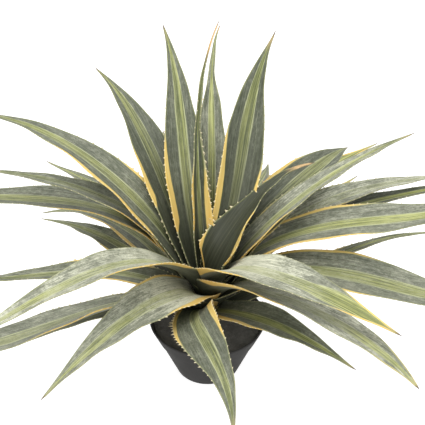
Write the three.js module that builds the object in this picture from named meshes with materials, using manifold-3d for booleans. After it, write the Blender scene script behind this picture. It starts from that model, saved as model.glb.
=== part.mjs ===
// A potted variegated agave: one rosette of long toothed leaves on a short stem, in a low round pot.
// Millimetres, +Z up, origin at the centre of the pot's underside, the viewer's side is -Y.
import * as THREE from "three";
import { mergeVertices } from "three/addons/utils/BufferGeometryUtils.js";
import Module from "manifold-3d";

const wasm = await Module();
wasm.setup();

// Driving dimensions
const GAP = 0.3; // clearance between two pieces that touch
const POT_HEIGHT = 82;
const RIM_RADIUS = 75;
const FOOT_RADIUS = 41;
const COLLAR_HEIGHT = 27; // the collar hangs this far down from the rim
const COLLAR_STEP = 1.6;
const WALL = 2.2;
const FLOOR = 3;
const SOIL_TOP = 76;
const STEM_FOOT = 40; // the stem ends this high, inside the soil
const STEM_PROFILE = [[STEM_FOOT, 16], [100, 16], [130, 12], [143, 6]]; // [height, radius]
const LEAF_START = [[90, 12], [130, 9], [143, 4]]; // a leaf's first point: [height, distance from the axis]
const TOOTH_LENGTH = 2.4;
const TOOTH_BASE = 4.2;
const SPINE_LENGTH = 9;
const STEM_SIDES = 12;

const GREEN = { color: 0x6f7462, roughness: 0.55, metalness: 0 };
const PALE = { color: 0xb9b184, roughness: 0.55, metalness: 0 };
const DARK_PLASTIC = { color: 0x4b4b49, roughness: 0.5, metalness: 0 };
const SOIL = { color: 0x2c2723, roughness: 0.95, metalness: 0 };

// One row a leaf, from the heart of the rosette outwards and down: name, height of its base on the stem,
// length, half of its greatest width, heading and pitch in degrees at its base, middle and tip (heading 0
// is +X, 90 is +Y, pitch 90 is straight up), depth of its channel over its half width, roll about its own
// midline in degrees at its base, middle and tip, and its taper (under 1 it narrows sooner, over 1 later).
const LEAVES = [
  ["young_leaf_right", 141, 214, 31.5, [0, 38, 22], [77, 43, -5], 0.32, [70, -14, -2], 0.6],
  ["young_leaf_tall", 137, 334, 14, [111, 91, 62], [75, 65, 35], 1, [1, 13, 0], 0.52],
  ["leaf_upper_3", 136, 326, 25.5, [35, 75, 45], [71, 52, 53], 0.45, [3, 20, -15], 1.46],
  ["leaf_upper_2", 135, 336, 26, [124, 99, 111], [67, 51, 31], 0.4, [-1, -5, 0], 1.16],
  ["leaf_upper_1", 134, 362, 19, [79, 91, 78], [64, 50, -4], 0.45, [0, 2, 0], 0.95],
  ["leaf_upper_4", 131, 405, 26, [217, 223, 201], [66, 12, -22], 0.34, [20, 0, -6], 1],
  ["leaf_upper_5", 131, 332, 36, [292, 319, 328], [74, 13, -13], 0.18, [-10, -6, 6], 1.2],
  ["leaf_upper_6", 128, 326, 26.5, [135, 121, 132], [65, 41, 12], 0.36, [0, -6, 3], 1.26],
  ["leaf_middle_1", 126, 337, 20.5, [11, 22, 33], [64, 31, 0], 0.32, [0, -9, 6], 1],
  ["leaf_middle_2", 124, 389, 27.5, [154, 153, 151], [63, 30, -12], 0.3, [0, -2, -3], 1.04],
  ["leaf_middle_3", 123, 308, 28.5, [31, 42, 67], [63, 21, -27], 0.37, [0, 14, 3], 1.56],
  ["leaf_middle_4", 120, 380, 33.5, [288, 322, 285], [67, 3, 13], 0.15, [-21, -21, 11], 1.24],
  ["leaf_middle_5", 119, 403, 28.5, [25, -6, 30], [61, 13, 19], 0.24, [-14, 7, 7], 1.38],
  ["leaf_middle_6", 117, 354, 23, [140, 166, 145], [65, 20, -17], 0.24, [8, 4, -1], 0.92],
  ["leaf_middle_7", 113, 372, 24, [33, 23, 28], [56, 11, -12], 0.31, [-1, -2, 2], 1.12],
  ["leaf_middle_8", 113, 312, 33.5, [246, 227, 229], [65, 2, -20], 0.24, [1, -8, 1], 0.88],
  ["leaf_middle_9", 112, 308, 22, [110, 104, 94], [70, 10, -13], 0.3, [0, 0, 0], 1],
  ["leaf_middle_10", 112, 287, 22, [67, 69, 85], [65, 1, -20], 0.3, [0, 0, 0], 1],
  ["leaf_middle_11", 111, 325, 20, [133, 138, 130], [61, 7, -10], 0.3, [0, 2, 0], 0.86],
  ["leaf_middle_12", 104, 402, 33.5, [208, 215, 193], [44, 5, 11], 0.21, [10, 25, -18], 1.7],
  ["leaf_lower_1", 108, 395, 31.5, [360, 345, 361], [59, -4, 9], 0.27, [-2, 9, 6], 1.44],
  ["leaf_lower_2", 108, 351, 20, [52, 45, 44], [53, 10, -7], 0.3, [0, 0, 0], 1],
  ["leaf_lower_3", 103, 408, 21.5, [35, 20, 22], [52, 7, 3], 0.3, [0, -7, 3], 1.02],
  ["leaf_lower_4", 104, 334, 28.5, [247, 284, 270], [38, 17, -13], 0.31, [11, 33, -2], 1.12],
  ["leaf_lower_5", 103, 420, 27, [121, 169, 157], [56, 5, -2], 0.29, [7, 5, -9], 1.54],
  ["leaf_lower_6", 102, 325, 23.5, [176, 175, 168], [49, -6, -5], 0.3, [0, 5, -1], 0.98],
  ["leaf_lower_7", 100, 268, 24.5, [306, 310, 308], [36, 17, 5], 0.28, [0, 6, -1], 0.96],
  ["leaf_lower_8", 98, 325, 23.5, [141, 133, 152], [43, -5, -28], 0.3, [0, 0, 0], 0.88],
  ["leaf_lower_9", 96, 332, 12.5, [-4, 25, 11], [31, 8, -12], 0.27, [0, -4, 1], 0.82],
  ["leaf_lower_10", 97, 342, 20, [60, 51, 45], [42, -6, 2], 0.3, [0, 0, 0], 1],
  ["leaf_lower_11", 94, 243, 19.5, [199, 204, 205], [41, 3, -9], 0.3, [0, 3, 0], 1],
  ["leaf_lower_12", 92, 297, 21.5, [149, 136, 147], [34, -3, -15], 0.3, [0, -7, 9], 0.96],
  ["leaf_back_1", 101, 260, 22, [90, 90, 90], [44, 8, -10], 0.3, [0, 0, 0], 1],
  ["leaf_back_2", 95, 255, 22, [112, 110, 108], [34, 0, -14], 0.3, [0, 0, 0], 1],
  ["leaf_back_3", 93, 250, 22, [78, 78, 76], [32, -2, -14], 0.3, [0, 0, 0], 1],
];

const STATIONS = 11;
const ACROSS = [-1, -0.5, 0, 0.5, 1];
const FIRST_TOOTH = 2;
const LAST_TOOTH = 8;
const TOOTH_LEAN = 0.8; // a tooth's tip leans this far towards the leaf's tip
const MIDLINE_STEPS = 96;
const SPINE_START = 0.985; // the blade ends and the spine starts at this share of the length
const STATION_SPREAD = 1.1; // over 1, sections stand closer together near the base
const WIDEST_WRAP = 1.35; // a half section wraps at most this many radians round the stem
const UNWRAPPED = 0.65; // share of the wrap that is lost between the next two stations
const UNWRAP_FROM = 0.15;
const UNWRAP_TO = 0.6;
const TOOTHLESS = "young_leaf_tall"; // still rolled, so its margins are hidden

// Leaves whose end is still rolled to a thin point: it narrows from here to there, and loses this share.
const ROLLED_END = {
  young_leaf_tall: [0.4, 0.6, 0.5],
  leaf_upper_1: [0.6, 0.76, 0.55],
};

const smooth = THREE.MathUtils.smoothstep;

// The value at s of the curve that passes a at 0, b at 0.5 and c at 1.
function through([a, b, c], s) {
  return a * (2 * (s - 0.5) * (s - 1)) + b * 4 * s * (1 - s) + c * 2 * s * (s - 0.5);
}

// The value at s of a line through the given [s, value] corners.
function along(corners, s) {
  for (let i = 1; i < corners.length; i++) {
    const [s0, v0] = corners[i - 1];
    const [s1, v1] = corners[i];
    if (s <= s1) return v0 + ((v1 - v0) * (s - s0)) / (s1 - s0);
  }
  return corners[corners.length - 1][1];
}

const OUTLINE = [[0, 0.85], [0.08, 0.8], [0.2, 0.92], [0.35, 1], [0.5, 0.88], [0.62, 0.66], [0.75, 0.42],
  [0.87, 0.2], [0.95, 0.08], [1, 0.03]];
const MID_THICKNESS = [[0, 5], [0.3, 3.4], [0.7, 2.4], [1, 1.6]];
const EDGE_THICKNESS = [[0, 1.4], [0.6, 1.1], [1, 0.9]];
const CHANNEL = [[0, 0], [0.15, 0.35], [0.45, 1], [0.8, 0.8], [1, 0.4]];

// Half of a leaf's width at s.
function halfWidth(leaf, s) {
  const [from, to, lost] = ROLLED_END[leaf[0]] ?? [0, 1, 0];
  return leaf[3] * along(OUTLINE, s ** leaf[8]) * (1 - lost * smooth(s, from, to));
}

// The leaf's midline: points and frames from the stem's axis outwards, found by stepping along it.
function midline([, base, length, , heading, pitch, , roll], stations) {
  const radians = THREE.MathUtils.degToRad;
  const start = radians(heading[0]);
  const out = along(LEAF_START, base);
  const at = new THREE.Vector3(out * Math.cos(start), out * Math.sin(start), base);
  const path = [at.clone()];
  const direction = (s) => {
    const h = radians(through(heading, s));
    const p = radians(through(pitch, s));
    return new THREE.Vector3(Math.cos(p) * Math.cos(h), Math.cos(p) * Math.sin(h), Math.sin(p));
  };
  for (let i = 0; i < MIDLINE_STEPS; i++) {
    at.addScaledVector(direction((i + 0.5) / MIDLINE_STEPS), length / MIDLINE_STEPS);
    path.push(at.clone());
  }
  return stations.map((s) => {
    const step = Math.min(Math.floor(s * MIDLINE_STEPS), MIDLINE_STEPS - 1);
    const point = path[step].clone().lerp(path[step + 1], s * MIDLINE_STEPS - step);
    const tangent = direction(s);
    const h = radians(through(heading, s));
    const side = new THREE.Vector3(-Math.sin(h), Math.cos(h), 0);
    side.applyAxisAngle(tangent, radians(through(roll, s)));
    return { s, point, tangent, side, up: tangent.clone().cross(side), steep: Math.max(tangent.z, 0) };
  });
}

// One cross-section: points of the upper face and the lower face under it, from one edge to the other.
// Near the stem the section bends round the plant's axis, so that leaves wrap each other like scales.
function section(station, leaf, grow) {
  const { s, point, side, up, steep } = station;
  const half = halfWidth(leaf, s);
  const depth = leaf[6] * along(CHANNEL, s) * half;
  const reach = Math.max(Math.hypot(point.x, point.y), along(LEAF_START, leaf[1]));
  const bend = (steep / reach) * (1 - UNWRAPPED * smooth(s, UNWRAP_FROM, UNWRAP_TO)) + 1e-6;
  const upper = [];
  const lower = [];
  for (const u of ACROSS) {
    const turn = THREE.MathUtils.clamp(bend * half * u, -WIDEST_WRAP, WIDEST_WRAP);
    const x = Math.sin(turn) / bend;
    const y = (1 - Math.cos(turn)) / bend + depth * u * u;
    const normal = new THREE.Vector2(-(Math.sin(turn) * half + 2 * depth * u), Math.cos(turn) * half);
    normal.normalize();
    const edge = along(EDGE_THICKNESS, s);
    const thickness = edge + (along(MID_THICKNESS, s) - edge) * (1 - u * u);
    const outward = Math.abs(u) === 1 ? u * grow : 0;
    const place = (down) =>
      point
        .clone()
        .addScaledVector(side, x - normal.x * down + outward * normal.y)
        .addScaledVector(up, y - normal.y * down - outward * normal.x);
    upper.push(place(-grow));
    lower.push(place(thickness + grow));
  }
  return { upper, lower, tangent: station.tangent };
}

// A leaf as one closed surface, with one tooth after each station on both edges, and its end spine.
function leafGeometry(leaf, grow = 0) {
  const positions = [];
  const faces = [];
  const put = (v) => positions.push(v.x, v.y, v.z) / 3 - 1;
  const quad = (a, b, c, d) => faces.push(a, b, c, a, c, d);
  const length = leaf[2];
  const stations = Array.from({ length: STATIONS }, (_, i) =>
    SPINE_START * (i / (STATIONS - 1)) ** STATION_SPREAD,
  );
  const rings = midline(leaf, stations).map((station) => section(station, leaf, grow));
  rings[0].upper.concat(rings[0].lower).forEach((v) => v.addScaledVector(rings[0].tangent, -grow));
  const index = rings.map(({ upper, lower }) => ({ upper: upper.map(put), lower: lower.map(put) }));
  const last = ACROSS.length - 1;

  for (let i = 0; i < STATIONS - 1; i++) {
    const [a, b] = [index[i], index[i + 1]];
    const toothed = leaf[0] !== TOOTHLESS && i >= FIRST_TOOTH && i <= LAST_TOOTH;
    for (let j = 0; j < last; j++) {
      const edge = j === 0 ? -1 : j === last - 1 ? 1 : 0;
      if (edge && toothed) continue;
      quad(a.upper[j], b.upper[j], b.upper[j + 1], a.upper[j + 1]);
      quad(a.lower[j], a.lower[j + 1], b.lower[j + 1], b.lower[j]);
    }
    for (const [edge, k, inner] of [[-1, 0, 1], [1, last, last - 1]]) {
      const turned = (p, q, r) => (edge > 0 ? faces.push(p, q, r) : faces.push(p, r, q));
      if (!toothed) {
        turned(a.upper[k], b.upper[k], b.lower[k]);
        turned(a.upper[k], b.lower[k], a.lower[k]);
        continue;
      }
      const [topA, topB] = [rings[i].upper[k], rings[i + 1].upper[k]];
      const [lowA, lowB] = [rings[i].lower[k], rings[i + 1].lower[k]];
      const share = (TOOTH_BASE + grow) / topA.distanceTo(topB);
      const top = topA.clone().lerp(topB, share);
      const low = lowA.clone().lerp(lowB, share);
      const outward = topA.clone().sub(rings[i].upper[inner]).normalize();
      const tip = topA.clone().add(top).add(lowA).add(low).multiplyScalar(0.25);
      tip.addScaledVector(outward, TOOTH_LENGTH + 2 * grow).addScaledVector(rings[i].tangent, TOOTH_LEAN);
      const [topEnd, lowEnd, apex] = [put(top), put(low), put(tip)];
      turned(a.upper[inner], topEnd, a.upper[k]);
      turned(a.upper[inner], b.upper[k], topEnd);
      turned(a.upper[inner], b.upper[inner], b.upper[k]);
      turned(a.lower[inner], a.lower[k], lowEnd);
      turned(a.lower[inner], lowEnd, b.lower[k]);
      turned(a.lower[inner], b.lower[k], b.lower[inner]);
      turned(a.upper[k], topEnd, apex);
      turned(topEnd, lowEnd, apex);
      turned(lowEnd, a.lower[k], apex);
      turned(a.lower[k], a.upper[k], apex);
      turned(topEnd, b.upper[k], b.lower[k]);
      turned(topEnd, b.lower[k], lowEnd);
    }
  }
  // The base is closed by a strip, and the tip by the spine.
  for (let j = 0; j < last; j++) {
    quad(index[0].upper[j], index[0].upper[j + 1], index[0].lower[j + 1], index[0].lower[j]);
  }
  const end = index[STATIONS - 1];
  const spine = rings[STATIONS - 1].upper[2].clone().lerp(rings[STATIONS - 1].lower[2], 0.5);
  const ahead = length * (1 - SPINE_START) + SPINE_LENGTH + grow;
  const point = put(spine.addScaledVector(rings[STATIONS - 1].tangent, ahead));
  for (let j = 0; j < last; j++) {
    faces.push(end.upper[j], point, end.upper[j + 1]);
    faces.push(end.lower[j], end.lower[j + 1], point);
  }
  faces.push(end.lower[0], point, end.upper[0]);
  faces.push(end.upper[last], point, end.lower[last]);

  const geometry = new THREE.BufferGeometry();
  geometry.setAttribute("position", new THREE.Float32BufferAttribute(positions, 3));
  geometry.setIndex(faces);
  return geometry;
}

// A closed geometry as a solid, and a solid as a geometry again.
function solidOf(geometry) {
  const bare = geometry.clone();
  bare.deleteAttribute("normal");
  bare.deleteAttribute("uv");
  const merged = mergeVertices(bare, 1e-3);
  return new wasm.Manifold(
    new wasm.Mesh({
      numProp: 3,
      vertProperties: new Float32Array(merged.attributes.position.array),
      triVerts: new Uint32Array(merged.index.array),
    }),
  );
}

function geometryOf(solid) {
  const mesh = solid.getMesh();
  const geometry = new THREE.BufferGeometry();
  geometry.setAttribute("position", new THREE.BufferAttribute(mesh.vertProperties, 3));
  geometry.setIndex(new THREE.BufferAttribute(mesh.triVerts, 1));
  const flat = geometry.toNonIndexed();
  flat.computeVertexNormals();
  return flat;
}

// A body of revolution about the upright axis, from a profile of [radius, height] points.
function turnedAbout(profile, sides) {
  const points = profile.map(([radius, height]) => new THREE.Vector2(radius, height));
  return new THREE.LatheGeometry(points, sides).rotateX(Math.PI / 2);
}

const collarFoot = POT_HEIGHT - COLLAR_HEIGHT;
const collarRadius = FOOT_RADIUS + ((RIM_RADIUS - FOOT_RADIUS) * collarFoot) / POT_HEIGHT + 0.8;
const inner = (radius) => radius - WALL;
const POT_PROFILE = [
  [0, 0],
  [FOOT_RADIUS - 1.5, 0],
  [FOOT_RADIUS, 1.5],
  [collarRadius - COLLAR_STEP, collarFoot],
  [collarRadius, collarFoot + 1.2],
  [RIM_RADIUS, POT_HEIGHT - 2],
  [RIM_RADIUS, POT_HEIGHT - 0.8],
  [RIM_RADIUS - 0.8, POT_HEIGHT],
  [inner(RIM_RADIUS) + 0.6, POT_HEIGHT],
  [inner(RIM_RADIUS), POT_HEIGHT - 0.8],
  [inner(collarRadius), collarFoot + 1.2],
  [inner(collarRadius - COLLAR_STEP), collarFoot - 1],
  [inner(FOOT_RADIUS), FLOOR],
  [0, FLOOR],
];

// The inside radius of the pot at a height, for the soil that fills it.
function insideRadius(height) {
  const wall = POT_PROFILE.slice(9, 13).map(([radius, z]) => [z, radius]);
  return along(wall.reverse(), height);
}

const SOIL_PROFILE = [
  [0, FLOOR + GAP],
  [insideRadius(FLOOR) - 2 * GAP, FLOOR + GAP],
  [insideRadius(collarFoot - 1) - 2 * GAP, collarFoot - 1],
  [insideRadius(collarFoot + 1.2) - 2 * GAP, collarFoot + 1.2],
  [insideRadius(SOIL_TOP) - 2 * GAP, SOIL_TOP],
  [STEM_PROFILE[0][1] + GAP, SOIL_TOP + 1.5],
  [STEM_PROFILE[0][1] + GAP, STEM_FOOT - GAP],
  [0, STEM_FOOT - GAP],
];

function stemProfile(grow) {
  const top = STEM_PROFILE[STEM_PROFILE.length - 1][0];
  const wall = STEM_PROFILE.map(([height, radius]) => [radius + grow, height]);
  wall[0][1] -= grow;
  wall[wall.length - 1][1] += grow;
  return [[0, STEM_FOOT - grow], ...wall, [0, top + grow]];
}

const part = new THREE.Group();

function add(name, geometry, look) {
  const mesh = new THREE.Mesh(geometry, new THREE.MeshStandardMaterial({ ...look, flatShading: true }));
  mesh.name = name;
  part.add(mesh);
}

add("pot", turnedAbout(POT_PROFILE, 28), DARK_PLASTIC);
add("soil", turnedAbout(SOIL_PROFILE, 20), SOIL);
add("stem", turnedAbout(stemProfile(0), STEM_SIDES), PALE);

// Each leaf is cut clear of the stem and of the leaves inside it, which wrap over its base.
const keepClear = [solidOf(turnedAbout(stemProfile(GAP), STEM_SIDES))];
for (const leaf of LEAVES) {
  const whole = solidOf(leafGeometry(leaf));
  const cut = keepClear.reduce((rest, other) => rest.subtract(other), whole);
  const pieces = cut.decompose().sort((a, b) => b.volume() - a.volume());
  add(leaf[0], geometryOf(pieces[0]), leaf[0] === TOOTHLESS ? PALE : GREEN);
  keepClear.push(solidOf(leafGeometry(leaf, GAP)).add(whole));
}

export default part;
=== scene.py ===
"""A potted variegated agave: a rosette of long toothed leaves with yellow margins, in a low charcoal pot."""
import math
import random

import bpy
import numpy as np
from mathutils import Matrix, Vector, noise


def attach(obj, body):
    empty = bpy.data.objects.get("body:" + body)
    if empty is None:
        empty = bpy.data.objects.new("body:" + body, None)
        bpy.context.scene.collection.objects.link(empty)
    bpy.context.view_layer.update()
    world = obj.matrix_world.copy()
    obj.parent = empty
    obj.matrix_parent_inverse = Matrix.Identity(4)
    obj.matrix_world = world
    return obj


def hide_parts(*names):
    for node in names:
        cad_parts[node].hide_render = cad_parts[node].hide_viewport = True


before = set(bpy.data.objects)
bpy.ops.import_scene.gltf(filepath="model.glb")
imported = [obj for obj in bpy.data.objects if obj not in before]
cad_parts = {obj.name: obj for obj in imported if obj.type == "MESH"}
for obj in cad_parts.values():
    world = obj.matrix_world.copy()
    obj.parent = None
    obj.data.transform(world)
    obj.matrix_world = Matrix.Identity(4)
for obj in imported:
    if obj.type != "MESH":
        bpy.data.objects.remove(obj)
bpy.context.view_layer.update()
scene = bpy.context.scene
MM = 0.001

# ---------------------------------------------------------------- sizes in millimetres, as in the solids
POT_HEIGHT = 82
RIM_RADIUS = 75
FOOT_RADIUS = 41
COLLAR_HEIGHT = 27
COLLAR_STEP = 1.6
WALL = 2.2
FLOOR = 3
SOIL_TOP = 76
GAP = 0.3
STEM_FOOT = 40
STEM_PROFILE = [[STEM_FOOT, 16], [100, 16], [130, 12], [143, 6]]  # [height, radius]
LEAF_START = [[90, 12], [130, 9], [143, 4]]  # [height, distance from the axis]
SPINE_LENGTH = 7.8
SPINE_START = 0.985  # the blade ends and the spine starts at this share of the length
WIDEST_WRAP = 1.35  # a half section wraps at most this many radians round the stem
UNWRAPPED = 0.65  # share of the wrap that is lost between the next two shares of the length
UNWRAP_FROM = 0.15
UNWRAP_TO = 0.6

# Along a leaf: [share of the length, value]. The values are a share of the half width, millimetres of
# thickness at the middle and at the edge, and a share of the leaf's channel depth.
OUTLINE = [[0, 0.85], [0.08, 0.8], [0.2, 0.92], [0.35, 1], [0.5, 0.88], [0.62, 0.66], [0.75, 0.42],
           [0.87, 0.2], [0.95, 0.08], [1, 0.03]]
MID_THICKNESS = [[0, 5], [0.3, 3.4], [0.7, 2.4], [1, 1.6]]
EDGE_THICKNESS = [[0, 1.4], [0.6, 1.1], [1, 0.9]]
CHANNEL = [[0, 0], [0.15, 0.35], [0.45, 1], [0.8, 0.8], [1, 0.4]]

# Leaves whose end is still rolled to a thin point: it narrows from here to there, and loses this share.
ROLLED_END = {"young_leaf_tall": (0.4, 0.6, 0.5), "leaf_upper_1": (0.6, 0.76, 0.55)}

# Name, height of the base, length, half width, heading and pitch at base, middle and tip, channel depth,
# roll about the midline at base, middle and tip, and taper.
LEAVES = [
    ["young_leaf_right", 141, 214, 31.5, [0, 38, 22], [77, 43, -5], 0.32, [70, -14, -2], 0.6],
    ["young_leaf_tall", 137, 334, 14, [111, 91, 62], [75, 65, 35], 1, [1, 13, 0], 0.52],
    ["leaf_upper_3", 136, 326, 25.5, [35, 75, 45], [71, 52, 53], 0.45, [3, 20, -15], 1.46],
    ["leaf_upper_2", 135, 336, 26, [124, 99, 111], [67, 51, 31], 0.4, [-1, -5, 0], 1.16],
    ["leaf_upper_1", 134, 362, 19, [79, 91, 78], [64, 50, -4], 0.45, [0, 2, 0], 0.95],
    ["leaf_upper_4", 131, 405, 26, [217, 223, 201], [66, 12, -22], 0.34, [20, 0, -6], 1],
    ["leaf_upper_5", 131, 332, 36, [292, 319, 328], [74, 13, -13], 0.18, [-10, -6, 6], 1.2],
    ["leaf_upper_6", 128, 326, 26.5, [135, 121, 132], [65, 41, 12], 0.36, [0, -6, 3], 1.26],
    ["leaf_middle_1", 126, 337, 20.5, [11, 22, 33], [64, 31, 0], 0.32, [0, -9, 6], 1],
    ["leaf_middle_2", 124, 389, 27.5, [154, 153, 151], [63, 30, -12], 0.3, [0, -2, -3], 1.04],
    ["leaf_middle_3", 123, 308, 28.5, [31, 42, 67], [63, 21, -27], 0.37, [0, 14, 3], 1.56],
    ["leaf_middle_4", 120, 380, 33.5, [288, 322, 285], [67, 3, 13], 0.15, [-21, -21, 11], 1.24],
    ["leaf_middle_5", 119, 403, 28.5, [25, -6, 30], [61, 13, 19], 0.24, [-14, 7, 7], 1.38],
    ["leaf_middle_6", 117, 354, 23, [140, 166, 145], [65, 20, -17], 0.24, [8, 4, -1], 0.92],
    ["leaf_middle_7", 113, 372, 24, [33, 23, 28], [56, 11, -12], 0.31, [-1, -2, 2], 1.12],
    ["leaf_middle_8", 113, 312, 33.5, [246, 227, 229], [65, 2, -20], 0.24, [1, -8, 1], 0.88],
    ["leaf_middle_9", 112, 308, 22, [110, 104, 94], [70, 10, -13], 0.3, [0, 0, 0], 1],
    ["leaf_middle_10", 112, 287, 22, [67, 69, 85], [65, 1, -20], 0.3, [0, 0, 0], 1],
    ["leaf_middle_11", 111, 325, 20, [133, 138, 130], [61, 7, -10], 0.3, [0, 2, 0], 0.86],
    ["leaf_middle_12", 104, 402, 33.5, [208, 215, 193], [44, 5, 11], 0.21, [10, 25, -18], 1.7],
    ["leaf_lower_1", 108, 395, 31.5, [360, 345, 361], [59, -4, 9], 0.27, [-2, 9, 6], 1.44],
    ["leaf_lower_2", 108, 351, 20, [52, 45, 44], [53, 10, -7], 0.3, [0, 0, 0], 1],
    ["leaf_lower_3", 103, 408, 21.5, [35, 20, 22], [52, 7, 3], 0.3, [0, -7, 3], 1.02],
    ["leaf_lower_4", 104, 334, 28.5, [247, 284, 270], [38, 17, -13], 0.31, [11, 33, -2], 1.12],
    ["leaf_lower_5", 103, 420, 27, [121, 169, 157], [56, 5, -2], 0.29, [7, 5, -9], 1.54],
    ["leaf_lower_6", 102, 325, 23.5, [176, 175, 168], [49, -6, -5], 0.3, [0, 5, -1], 0.98],
    ["leaf_lower_7", 100, 268, 24.5, [306, 310, 308], [36, 17, 5], 0.28, [0, 6, -1], 0.96],
    ["leaf_lower_8", 98, 325, 23.5, [141, 133, 152], [43, -5, -28], 0.3, [0, 0, 0], 0.88],
    ["leaf_lower_9", 96, 332, 12.5, [-4, 25, 11], [31, 8, -12], 0.27, [0, -4, 1], 0.82],
    ["leaf_lower_10", 97, 342, 20, [60, 51, 45], [42, -6, 2], 0.3, [0, 0, 0], 1],
    ["leaf_lower_11", 94, 243, 19.5, [199, 204, 205], [41, 3, -9], 0.3, [0, 3, 0], 1],
    ["leaf_lower_12", 92, 297, 21.5, [149, 136, 147], [34, -3, -15], 0.3, [0, -7, 9], 0.96],
    ["leaf_back_1", 101, 260, 22, [90, 90, 90], [44, 8, -10], 0.3, [0, 0, 0], 1],
    ["leaf_back_2", 95, 255, 22, [112, 110, 108], [34, 0, -14], 0.3, [0, 0, 0], 1],
    ["leaf_back_3", 93, 250, 22, [78, 78, 76], [32, -2, -14], 0.3, [0, 0, 0], 1],
]

# ---------------------------------------------------------------- looks of the single leaves
# Waxy bloom, strength of the yellow-green stripe, and dryness of the tip. With 1 the layer is full. A bloom
# over 1 also fills its thin places, and a dryness over 1 starts further down the leaf.
TRAITS = {
    "young_leaf_tall": (0.0, 0.7, 2.0),
    "young_leaf_right": (0.02, 0.0, 2.0),
    "leaf_upper_1": (0.45, 0.95, 0.8),
    "leaf_upper_2": (0.16, 0.66, 0.15),
    "leaf_upper_3": (0.1, 0.6, 0.5),
    "leaf_upper_4": (0.95, 0.85, 0.1),
    "leaf_upper_5": (1.2, 0.6, 0.25),
    "leaf_upper_6": (0.15, 0.55, 0.1),
    "leaf_middle_1": (0.7, 0.9, 0.3),
    "leaf_middle_2": (0.25, 0.6, 0.1),
    "leaf_middle_3": (0.15, 0.4, 0.1),
    "leaf_middle_4": (1.3, 0.5, 0.1),
    "leaf_middle_5": (0.45, 1.0, 0.2),
    "leaf_middle_6": (0.4, 0.5, 0.1),
    "leaf_middle_7": (0.95, 0.3, 0.2),
    "leaf_middle_8": (0.55, 0.7, 0.1),
    "leaf_middle_12": (0.5, 0.45, 0.1),
    "leaf_lower_1": (0.45, 0.7, 0.2),
    "leaf_lower_3": (0.1, 1.0, 0.1),
    "leaf_lower_4": (0.22, 0.55, 0.2),
    "leaf_lower_7": (0.3, 0.9, 0.2),
}
USUAL_TRAITS = (0.35, 0.6, 0.1)

# Yellow margins: share of the length where it starts, width in millimetres and share of the length where it
# ends, for the side at u = -1 (right of the leaf as it points away from the stem) and for the side at u = 1.
MARGINS = {
    "young_leaf_tall": ((0.1, 5.5, 0.36), (0.2, 2.6, 0.4)),
    "young_leaf_right": ((0.2, 11.0, 0.42), (-0.1, 8.0, 0.18)),
    "leaf_upper_1": ((0.24, 2.0, 0.36), (0.24, 1.8, 0.4)),
    "leaf_upper_2": ((0.24, 2.0, 0.3), (0.2, 6.5, 0.46)),
    "leaf_upper_3": ((0.3, 4.0, 0.4), (0.2, 6.5, 0.5)),
    "leaf_upper_4": ((0.1, 0.4, 0.2), (0.16, 4.0, 0.45)),
    "leaf_upper_5": ((0.08, 9.0, 0.34), (0.1, 0.4, 0.2)),
    "leaf_upper_6": ((0.36, 2.0, 0.4), (0.34, 6.0, 0.5)),
    "leaf_middle_1": ((0.12, 4.0, 0.36), (0.3, 1.2, 0.4)),
    "leaf_middle_2": ((0.3, 3.2, 0.42), (0.24, 4.5, 0.6)),
    "leaf_middle_3": ((0.2, 1.5, 0.4), (0.2, 3.0, 0.62)),
    "leaf_middle_4": ((0.12, 11.0, 0.38), (0.1, 0.6, 0.2)),
    "leaf_middle_5": ((0.14, 4.0, 0.5), (0.1, 2.8, 0.5)),
    "leaf_middle_6": ((0.2, 3.0, 0.45), (0.2, 3.2, 0.4)),
    "leaf_middle_7": ((0.12, 3.2, 0.5), (0.2, 1.2, 0.5)),
    "leaf_middle_8": ((0.1, 2.0, 0.42), (-0.1, 10.0, 0.33)),
    "leaf_middle_12": ((0.2, 1.0, 0.3), (0.2, 2.5, 0.6)),
    "leaf_lower_1": ((0.1, 2.8, 0.5), (0.1, 2.4, 0.5)),
    "leaf_lower_4": ((-0.1, 3.4, 0.42), (-0.1, 6.5, 0.5)),
    "leaf_lower_5": ((0.2, 2.5, 0.3), (0.2, 4.2, 0.5)),
    "leaf_lower_6": ((0.2, 2.5, 0.5), (0.2, 3.0, 0.5)),
    "leaf_lower_7": ((-0.1, 6.5, 0.42), (0.1, 0.6, 0.2)),
    "leaf_lower_8": ((0.2, 2.0, 0.4), (0.2, 4.2, 0.6)),
}
USUAL_MARGINS = ((0.2, 2.6, 0.5), (0.2, 2.6, 0.5))
THIN_MARGIN = 0.22  # the pale edge where a margin is not yellow
RIPE_MARGIN = 1.6  # width of the yellow margin near the tip of a leaf whose end is ripe
MARGIN_RISE = 0.06  # share of the length over which a yellow margin grows to its full width
MARGIN_FADE = (-0.12, 0.16)  # it fades from here to there, about its end
WIDEST_MARGIN = 0.55  # share of the half width that a margin takes at most, and millimetres on top
MARGIN_REST = 0.2

# How dark a leaf is at its base, from 0 to 1, and the share of its length over which that fades. The
# darkness is partly the leaf's own bare green and partly painted shade of the heart of the rosette.
DARK_BASE_AND_SHADE = {
    "young_leaf_tall": (0.85, 0.6),
    "young_leaf_right": (0.97, 2.4),
    "leaf_upper_2": (0.95, 0.6),
    "leaf_upper_3": (0.97, 0.9),
    "leaf_upper_4": (0.97, 0.33),
    "leaf_upper_5": (0.0, 0.1),
    "leaf_upper_6": (1.0, 0.9),
    "leaf_middle_3": (0.95, 0.7),
    "leaf_middle_4": (0.95, 0.25),
    "leaf_middle_5": (0.7, 0.3),
    "leaf_middle_6": (0.9, 0.4),
    "leaf_middle_8": (0.0, 0.1),
    "leaf_middle_12": (0.4, 0.2),
    "leaf_lower_1": (0.6, 0.3),
    "leaf_lower_4": (0.2, 0.2),
    "leaf_lower_7": (0.0, 0.2),
    # painted shade: this leaf is dark all along, standing in for a shaded underside
    "leaf_lower_11": (0.9, 1.6),
}
USUAL_DARK_BASE_AND_SHADE = (0.92, 0.42)
DARK_BASE_AND_SHADE_FROM = 0.05
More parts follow.
